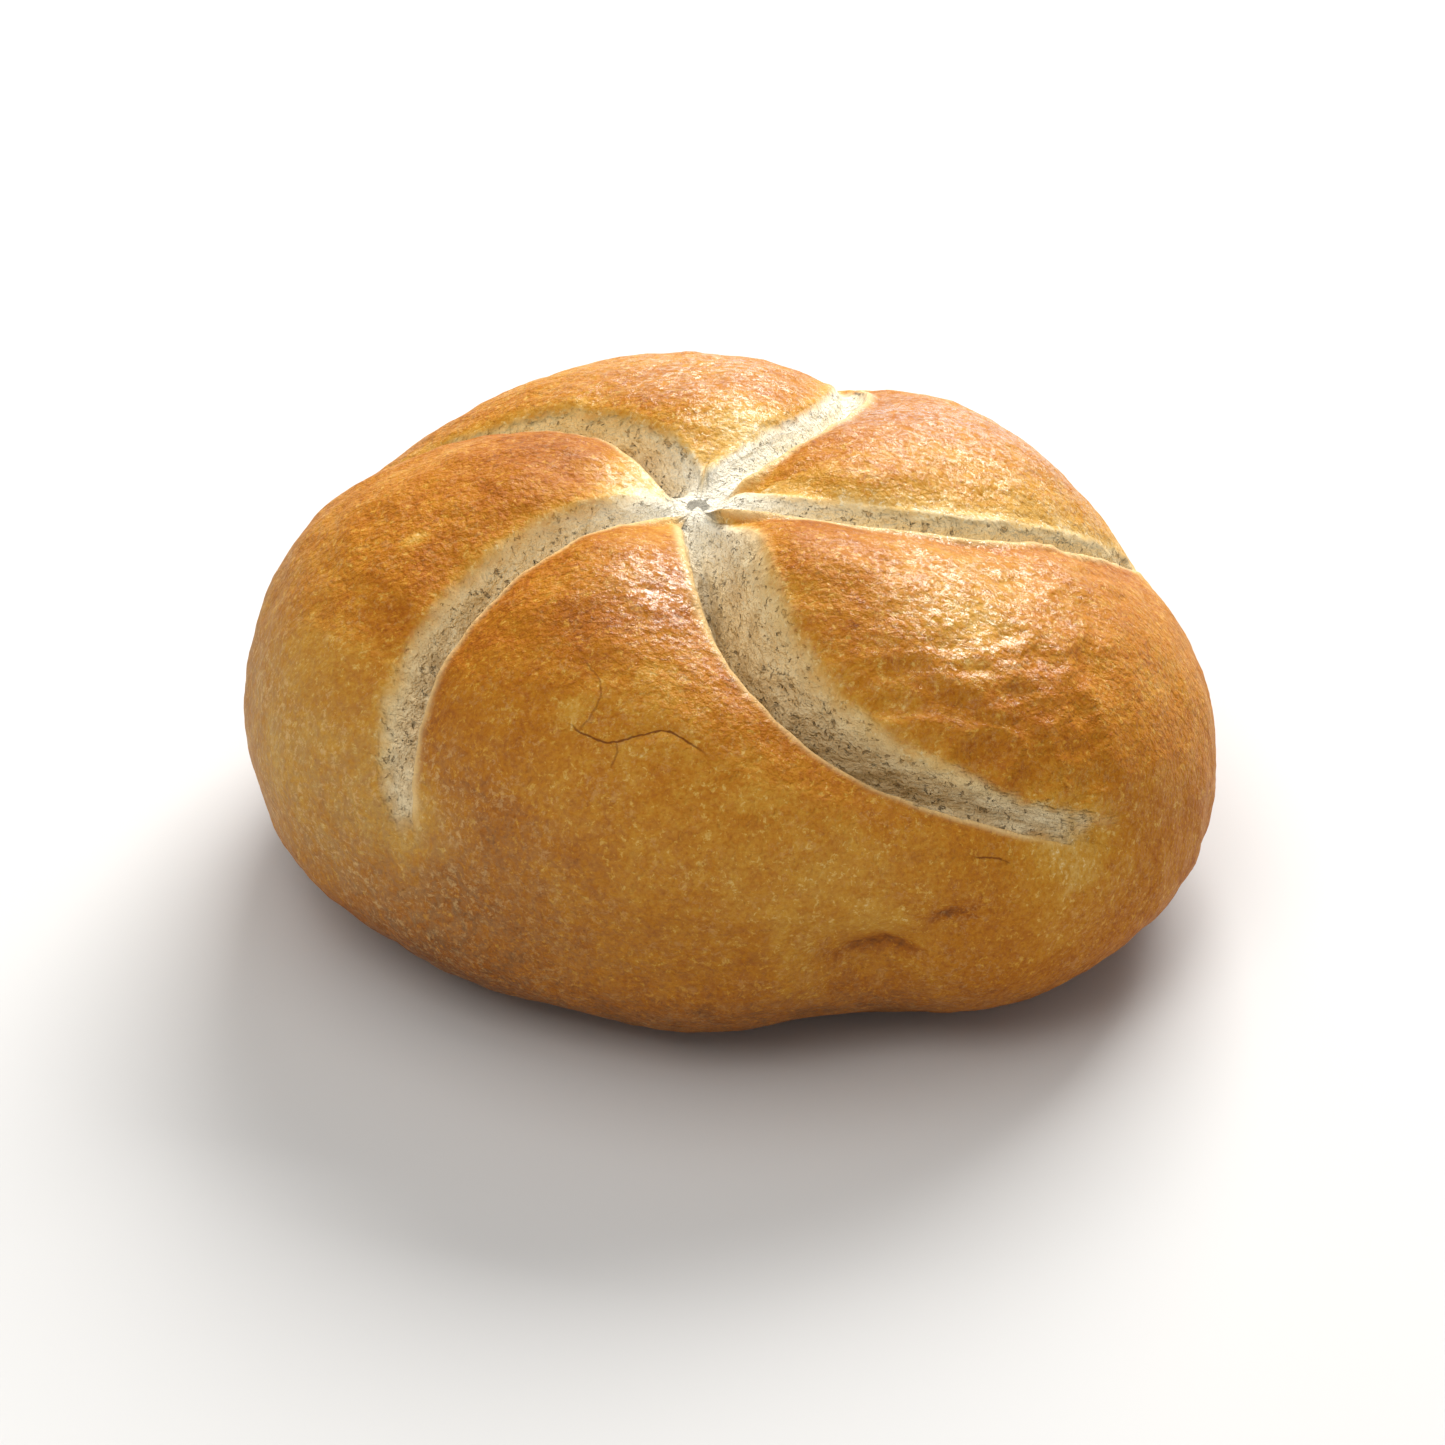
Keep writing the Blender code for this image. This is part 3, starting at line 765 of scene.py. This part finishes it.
class RollSettings(bpy.types.PropertyGroup):
    """Sizes and colours of the baked roll"""

    bake: bpy.props.FloatProperty(
        name="Bake", description="How far the crust is baked, from pale at 0 to dark at 1",
        default=0.52, min=0.0, max=1.0, subtype="FACTOR")
    crust_pale: bpy.props.FloatVectorProperty(
        name="Pale crust", description="Colour of crust that has hardly baked",
        default=srgb(238, 216, 168), size=4, min=0.0, max=1.0, subtype="COLOR")
    crust_yellow: bpy.props.FloatVectorProperty(
        name="Yellow crust", description="Colour of lightly baked crust",
        default=srgb(224, 180, 98), size=4, min=0.0, max=1.0, subtype="COLOR")
    crust_golden: bpy.props.FloatVectorProperty(
        name="Golden crust", description="Colour of evenly baked crust",
        default=srgb(208, 150, 52), size=4, min=0.0, max=1.0, subtype="COLOR")
    crust_orange: bpy.props.FloatVectorProperty(
        name="Orange crust", description="Colour of well baked crust",
        default=srgb(193, 123, 28), size=4, min=0.0, max=1.0, subtype="COLOR")
    crust_brown: bpy.props.FloatVectorProperty(
        name="Brown crust", description="Colour of strongly baked crust",
        default=srgb(172, 98, 18), size=4, min=0.0, max=1.0, subtype="COLOR")
    crust_dark: bpy.props.FloatVectorProperty(
        name="Dark crust", description="Colour of the darkest crust",
        default=srgb(120, 62, 14), size=4, min=0.0, max=1.0, subtype="COLOR")
    flecks: bpy.props.FloatProperty(
        name="Flecks", description="How strongly the light flecks of the crust show",
        default=1.0, min=0.0, max=1.0, subtype="FACTOR")
    fleck_colour: bpy.props.FloatVectorProperty(
        name="Fleck colour", description="Colour of the light flecks",
        default=srgb(224, 184, 122), size=4, min=0.0, max=1.0, subtype="COLOR")
    dust_colour: bpy.props.FloatVectorProperty(
        name="Dust colour", description="Colour of the dusty bloom over the crust",
        default=srgb(170, 150, 110), size=4, min=0.0, max=1.0, subtype="COLOR")
    shine: bpy.props.FloatProperty(
        name="Shine", description="How strongly the tops of the crust shine",
        default=1.0, min=0.0, max=1.0, subtype="FACTOR")
    crumb_shade: bpy.props.FloatVectorProperty(
        name="Crumb shade", description="Darker colour of the torn crumb",
        default=srgb(216, 186, 134), size=4, min=0.0, max=1.0, subtype="COLOR")
    crumb_light: bpy.props.FloatVectorProperty(
        name="Crumb", description="Lighter colour of the torn crumb",
        default=srgb(248, 226, 180), size=4, min=0.0, max=1.0, subtype="COLOR")
    crumb_edge: bpy.props.FloatVectorProperty(
        name="Crumb edge", description="Colour of the crumb where it meets the crust",
        default=srgb(246, 216, 150), size=4, min=0.0, max=1.0, subtype="COLOR")
    # Painted light on the crumb, at the hub and in the lit cuts
    painted_light_crumb_colour: bpy.props.FloatVectorProperty(
        name="Bright crumb", description="Colour of the crumb at the hub",
        default=srgb(255, 247, 226), size=4, min=0.0, max=1.0, subtype="COLOR")
    # Painted shade in the small pits of the crumb
    pit_shade_colour: bpy.props.FloatVectorProperty(
        name="Pit colour", description="Colour of the small pits of the crumb",
        default=srgb(150, 112, 70), size=4, min=0.0, max=1.0, subtype="COLOR")
    # Colour of the pale rim of the sharp lips, partly a painted highlight
    rim_and_highlight_colour: bpy.props.FloatVectorProperty(
        name="Rim colour", description="Colour of the thin rim of each cut's sharp lip",
        default=srgb(246, 212, 150), size=4, min=0.0, max=1.0, subtype="COLOR")
    # Painted shade of the fine cracks
    crack_shade_colour: bpy.props.FloatVectorProperty(
        name="Crack colour", description="Colour of the fine cracks",
        default=srgb(112, 56, 14), size=4, min=0.0, max=1.0, subtype="COLOR")
    crack_width: bpy.props.FloatProperty(
        name="Crack width", description="Width of the fine cracks",
        default=0.00016, min=0.0, max=0.001, precision=5, subtype="DISTANCE", unit="LENGTH")
    crack_depth: bpy.props.FloatProperty(
        name="Crack depth", description="Depth of the fine cracks",
        default=0.00025, min=0.0, max=0.001, precision=5, subtype="DISTANCE", unit="LENGTH")
    lump_height: bpy.props.FloatProperty(
        name="Lump height", description="Height of the small lumps of the crust",
        default=0.00024, min=0.0, max=0.001, precision=5, subtype="DISTANCE", unit="LENGTH")
    wrinkle_height: bpy.props.FloatProperty(
        name="Wrinkle height", description="Height of the wrinkles of the right petal",
        default=0.00050, min=0.0, max=0.002, precision=5, subtype="DISTANCE", unit="LENGTH")
    torn_depth: bpy.props.FloatProperty(
        name="Torn crumb depth", description="How uneven the torn crumb is",
        default=0.0007, min=0.0, max=0.002, precision=5, subtype="DISTANCE", unit="LENGTH")
    dent_depth: bpy.props.FloatProperty(
        name="Dent depth", description="Depth of the dents low on the front",
        default=0.0012, min=0.0, max=0.003, precision=5, subtype="DISTANCE", unit="LENGTH")


class StageSettings(bpy.types.PropertyGroup):
    """Floor, light and camera"""

    floor_colour: bpy.props.FloatVectorProperty(
        name="Floor colour", description="Colour of the floor",
        default=(0.73, 0.73, 0.73, 1.0), size=4, min=0.0, max=1.0, subtype="COLOR")
    room_light: bpy.props.FloatProperty(
        name="Room light", description="Strength of the even light all round",
        default=0.33, min=0.0, max=2.0, subtype="FACTOR")
    window_power: bpy.props.FloatProperty(
        name="Window power", description="Power of the light from behind",
        default=14.8, min=0.0, max=100.0, subtype="POWER", unit="POWER")
    top_power: bpy.props.FloatProperty(
        name="Top power", description="Power of the light from above",
        default=1.6, min=0.0, max=100.0, subtype="POWER", unit="POWER")
    front_power: bpy.props.FloatProperty(
        name="Front power", description="Power of the light from the front",
        default=2.35, min=0.0, max=100.0, subtype="POWER", unit="POWER")
    camera_distance: bpy.props.FloatProperty(
        name="Camera distance", description="From the camera to the middle of the roll",
        default=CAMERA_DISTANCE, min=0.2, max=3.0, subtype="DISTANCE", unit="LENGTH")
    camera_elevation: bpy.props.FloatProperty(
        name="Camera elevation", description="How steeply the camera looks down",
        default=CAMERA_ELEVATION, min=0.0, max=math.radians(89), subtype="ANGLE", unit="ROTATION")
    camera_lens: bpy.props.FloatProperty(
        name="Camera lens", description="Focal length of the camera",
        default=CAMERA_LENS, min=20.0, max=400.0, unit="CAMERA")


class KAISER_OT_roll(bpy.types.Operator):
    """Builds the baked roll over the plain solid"""

    bl_idname = "kaiser.roll"
    bl_label = "Baked roll"

    def execute(self, context):
        settings = context.scene.kaiser_roll
        piece = fine_copy_of_solid("baked_roll")
        dress_mesh(piece, settings)
        piece.data.materials.append(roll_material(settings))
        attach(piece, "root")
        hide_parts("kaiser_roll")
        return {"FINISHED"}


def area_light(lamp, power):
    light = bpy.data.lights.new(lamp.name, "AREA")
    light.shape = "RECTANGLE"
    light.size, light.size_y = lamp.size
    light.energy = power
    light.color = lamp.colour
    holder = bpy.data.objects.new(lamp.name, light)
    holder.location = lamp.place
    holder.rotation_euler = (Vector(LAMP_TARGET) - Vector(lamp.place)).to_track_quat("-Z", "Y").to_euler()
    bpy.context.scene.collection.objects.link(holder)


class KAISER_OT_stage(bpy.types.Operator):
    """Adds the floor, the light and the camera"""

    bl_idname = "kaiser.stage"
    bl_label = "Stage"

    def execute(self, context):
        settings = context.scene.kaiser_stage
        deselect_all()
        bpy.ops.mesh.primitive_plane_add(size=8.0, location=(0.0, 0.0, 0.0))
        floor = context.active_object
        floor.name = "floor"
        floor.data.materials.append(floor_material(tuple(settings.floor_colour)))
        world = bpy.data.worlds.new("pale_room")
        world.use_nodes = True
        background = world.node_tree.nodes["Background"]
        background.inputs["Color"].default_value = (1.0, 0.99, 0.97, 1.0)
        background.inputs["Strength"].default_value = settings.room_light
        context.scene.world = world
        for lamp in LAMPS:
            area_light(lamp, getattr(settings, lamp.power))
        place, turn = camera_view(settings.camera_distance, settings.camera_elevation)
        camera = bpy.data.objects.new("camera", bpy.data.cameras.new("camera"))
        camera.location = place
        camera.rotation_euler = turn.to_euler()
        camera.data.lens = settings.camera_lens
        camera.data.sensor_width = SENSOR_WIDTH
        camera.data.clip_start = 0.01
        context.scene.collection.objects.link(camera)
        context.scene.camera = camera
        context.scene.view_settings.view_transform = "Standard"
        return {"FINISHED"}


class KAISER_PT_sidebar(bpy.types.Panel):
    """Buttons and values of the kaiser roll"""

    bl_label = "Kaiser roll"
    bl_idname = "KAISER_PT_sidebar"
    bl_space_type = "VIEW_3D"
    bl_region_type = "UI"
    bl_category = "Kaiser roll"

    def draw(self, context):
        for owner, operator in (("kaiser_roll", "kaiser.roll"), ("kaiser_stage", "kaiser.stage")):
            box = self.layout.box()
            box.operator(operator)
            settings = getattr(context.scene, owner)
            for name in settings.__annotations__:
                box.prop(settings, name)


CLASSES = (RollSettings, StageSettings, KAISER_OT_roll, KAISER_OT_stage, KAISER_PT_sidebar)


def register():
    for cls in CLASSES:
        bpy.utils.register_class(cls)
    bpy.types.Scene.kaiser_roll = bpy.props.PointerProperty(type=RollSettings)
    bpy.types.Scene.kaiser_stage = bpy.props.PointerProperty(type=StageSettings)


def unregister():
    del bpy.types.Scene.kaiser_stage
    del bpy.types.Scene.kaiser_roll
    for cls in reversed(CLASSES):
        bpy.utils.unregister_class(cls)


def main():
    register()
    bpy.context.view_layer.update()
    bpy.ops.kaiser.roll()
    bpy.ops.kaiser.stage()
    context = bpy.context
    context.view_layer.update()


if __name__ == "__main__":
    main()
